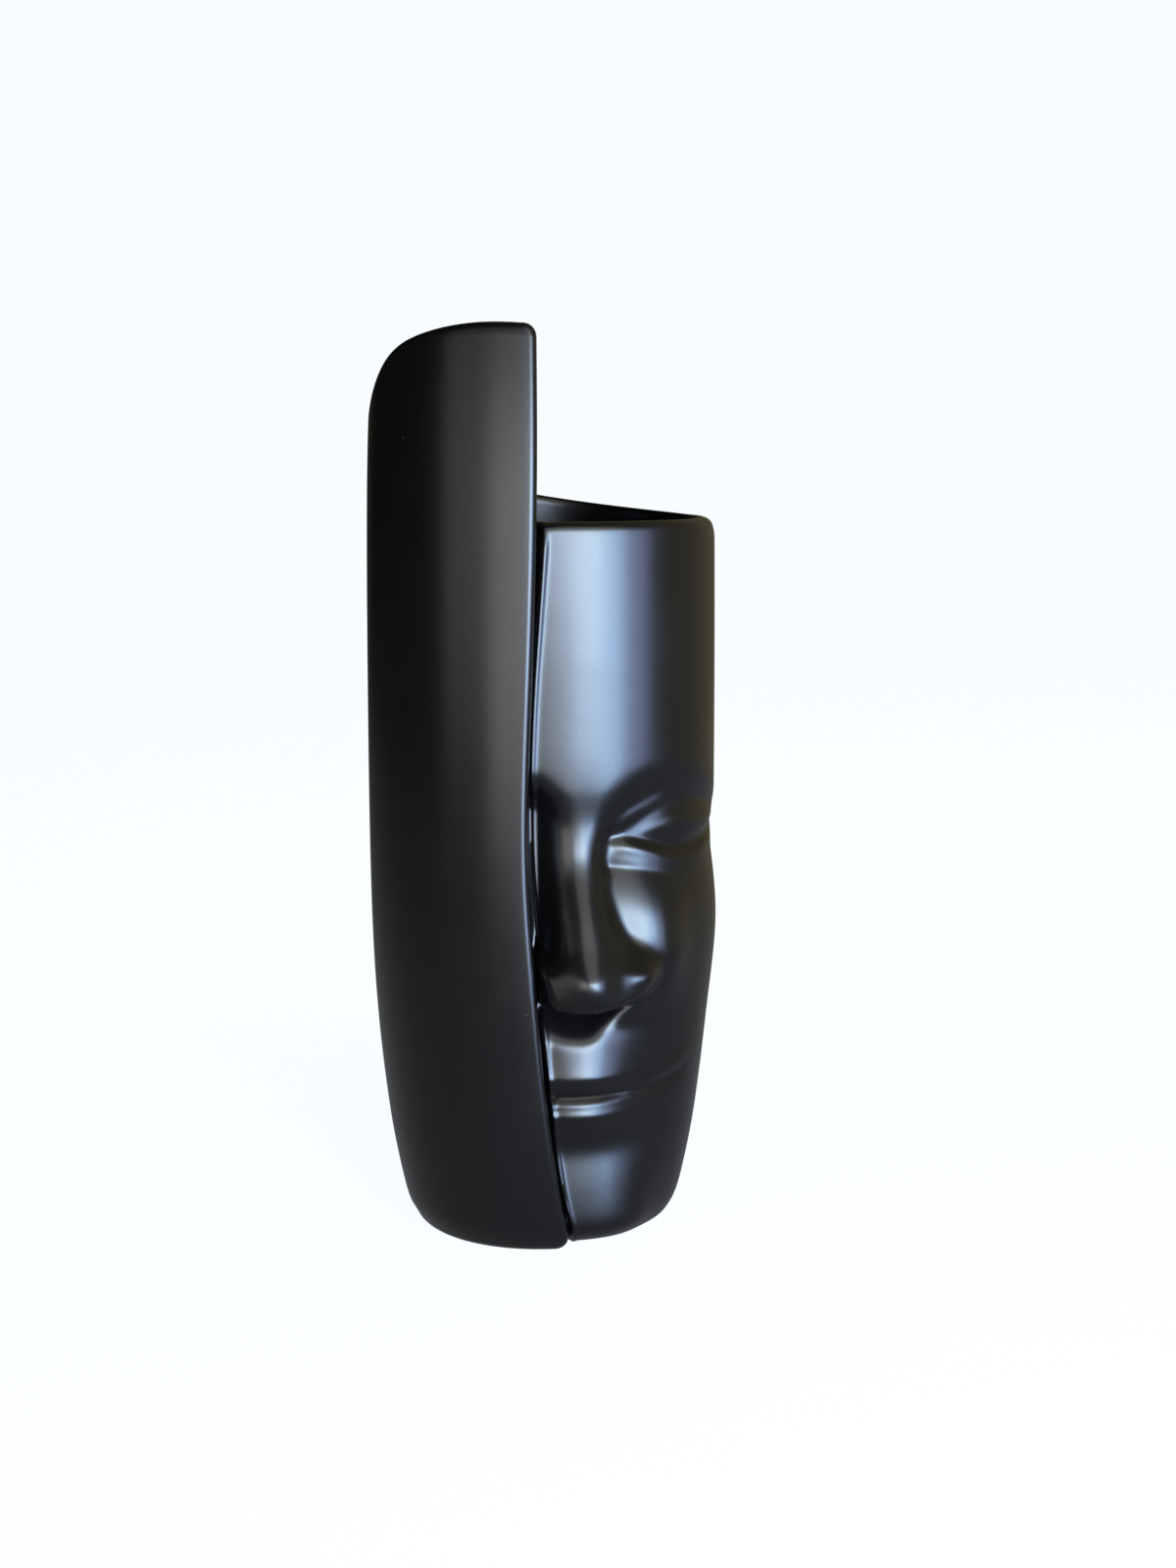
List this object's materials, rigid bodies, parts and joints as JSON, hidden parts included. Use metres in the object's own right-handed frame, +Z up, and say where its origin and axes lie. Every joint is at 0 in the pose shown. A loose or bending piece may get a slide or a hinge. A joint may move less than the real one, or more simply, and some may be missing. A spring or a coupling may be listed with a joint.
{
  "type": "face vase",
  "caption": "Tall scroll-shaped ceramic flower vase with a calm sculpted half face and a taller hood that wraps one side, open at the top.",
  "frame": {"origin": "on the vase's axis, on the table plane under the base", "axes": "+Z up, the face looks along -Y, the hood is on -X"},
  "size_m": [0.1212, 0.132, 0.3101],
  "materials": {
    "satin_black_glaze": "satin",
    "bare_stoneware": "matte"
  },
  "bodies": {
    "root": {"face_shell": "satin_black_glaze", "back_shell": "satin_black_glaze", "hood": "satin_black_glaze", "base": "bare_stoneware"}
  },
  "joints": []
}
